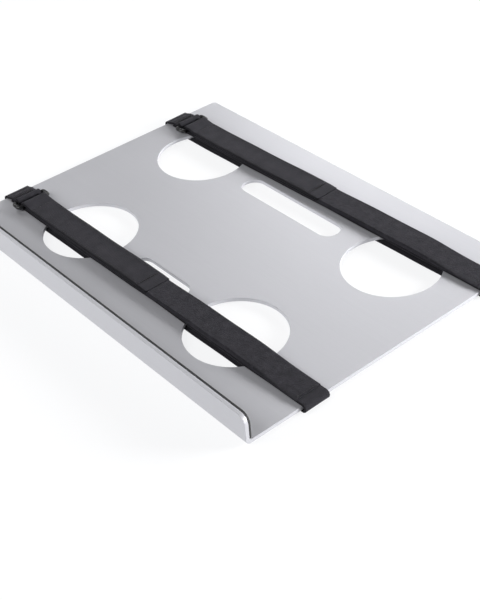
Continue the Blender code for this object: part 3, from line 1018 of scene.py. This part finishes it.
def loop_stitches(side, place, thread):
    """The loop tape's seams. Beyond the tail, its side seams are lost in the pile."""
    top = LOOP_TAPE_Z + TAPE / 2
    stitches = side_seams(TAIL_FLAT_X + SEAM_END, TAIL_END_X, top)
    stitches += cross_seam(LOOP_END_X - LOOP_SEAM_INSET, top)
    name = side + "_loop_stitches"
    item = add(name, thread_mesh(name, stitches), thread)
    settle(item, place, "thread")
    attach(item, side + "_strap")


def anchor_tack(side, place, thread):
    """The tack that closes the band round the ring's other bar."""
    low, high = SEWN_END_X + ANCHOR_TACK_INSET, ANCHOR_FLAT_X - ANCHOR_TACK_INSET
    stitches = bar_tack(low, high, ANCHOR_TOP_Z + WEBBING / 2, ANCHOR_TACK_LEGS)
    name = side + "_anchor_tack"
    item = add(name, thread_mesh(name, stitches), thread)
    settle(item, place, "thread", side + "_anchor_stitching")
    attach(item, side + "_strap")


def strap(side, finishes):
    """One cinch strap. Its webbing is one length, so each part starts where the last one ended."""
    webbing_finish, loop_finish, hook_finish, plastic, thread = finishes
    place = strap_frame(side)
    run = strap_band(side, place, webbing_finish)
    run = strap_fold(side, place, webbing_finish, run)
    strap_tail(side, place, webbing_finish, run)
    loop_tape(side, place, loop_finish)
    hook_tape(side, place, hook_finish)
    tail_stitches(side, place, thread)
    loop_stitches(side, place, thread)
    anchor_tack(side, place, thread)
    ring = buckle_ring(side + "_ring", plastic)
    settle(ring, place, "buckle_plastic", side + "_buckle_ring")
    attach(ring, side + "_buckle")


# ---------------------------------------------------------------- stage
def floor():
    """A pale floor, just under the straps."""
    mesh = bpy.data.meshes.new("floor")
    corners = ((-1, -1), (1, -1), (1, 1), (-1, 1))
    mesh.from_pydata([(x * FLOOR_REACH, y * FLOOR_REACH, 0.0) for x, y in corners], [], [(0, 1, 2, 3)])
    skin = Shader("pale_floor")
    skin.set("Base Color", FLOOR_GREY)
    skin.set("Roughness", 0.9)
    skin.set("Emission Color", FLOOR_GLOW_TINT)
    skin.set("Emission Strength", FLOOR_GLOW)
    skin.set("Specular IOR Level", 0.1)
    item = add("floor", mesh, skin.material)
    item.location.z = cad_low.z - FLOOR_BELOW


def softbox(name, azimuth, elevation, power):
    """A rectangular lamp aimed at the tray. Azimuth runs from the back towards the right."""
    turn, rise = math.radians(azimuth), math.radians(elevation)
    away = Vector((math.sin(turn) * math.cos(rise), math.cos(turn) * math.cos(rise), math.sin(rise)))
    lamp = bpy.data.lights.new(name, "AREA")
    lamp.shape = "RECTANGLE"
    lamp.size, lamp.size_y = SOFTBOX_SIZE
    lamp.energy = power
    item = bpy.data.objects.new(name, lamp)
    bpy.context.scene.collection.objects.link(item)
    item.location = away * SOFTBOX_DISTANCE
    item.rotation_mode = "QUATERNION"
    item.rotation_quaternion = (-away).to_track_quat("-Z", "Y")


def lights():
    """A low key from the back right, fill from the back and the left, and a lift from the front."""
    for name, azimuth, elevation, power in SOFTBOXES:
        softbox(name, azimuth, elevation, power)

    # the sky lights the scene dimly, but the camera sees it as pale as the floor
    world = bpy.data.worlds.new("studio")
    world.use_nodes = True
    background = world.node_tree.nodes["Background"]
    background.inputs["Color"].default_value = (1.0, 1.0, 1.0, 1.0)
    seen = world.node_tree.nodes.new("ShaderNodeLightPath")
    strength = world.node_tree.nodes.new("ShaderNodeMath")
    strength.operation = "MULTIPLY_ADD"
    strength.inputs[1].default_value = SKY_SEEN - SKY_STRENGTH
    strength.inputs[2].default_value = SKY_STRENGTH
    world.node_tree.links.new(seen.outputs["Is Camera Ray"], strength.inputs[0])
    world.node_tree.links.new(strength.outputs[0], background.inputs["Strength"])
    bpy.context.scene.world = world
    bpy.context.scene.view_settings.view_transform = "Standard"


def camera():
    """The view: from the right of the front, a little above, turned slightly."""
    azimuth, elevation = math.radians(VIEW_AZIMUTH), math.radians(VIEW_ELEVATION)
    back = Vector((
        math.sin(azimuth) * math.cos(elevation),
        -math.cos(azimuth) * math.cos(elevation),
        math.sin(elevation),
    ))
    lens = bpy.data.cameras.new("camera")
    lens.sensor_width = SENSOR_WIDTH
    lens.lens = FOCAL_LENGTH
    lens.clip_start, lens.clip_end = VIEW_CLIP
    item = bpy.data.objects.new("camera", lens)
    bpy.context.scene.collection.objects.link(item)
    item.location = Vector(VIEW_TARGET) + back * VIEW_DISTANCE
    item.rotation_mode = "QUATERNION"
    roll = Quaternion((0.0, 0.0, 1.0), math.radians(VIEW_ROLL))
    item.rotation_quaternion = (-back).to_track_quat("-Z", "Y") @ roll
    bpy.context.scene.camera = item


def main():
    camera()
    metal = anodised_aluminium()
    tray_plate(metal, deburred_edge())
    lip_liner(liner_rubber())
    finishes = (
        woven(),
        loop_pile(),
        hook_ground(),
        moulded_plastic(),
        sewing_thread(),
    )
    for side in ("front", "rear"):
        strap(side, finishes)
    floor()
    lights()


main()
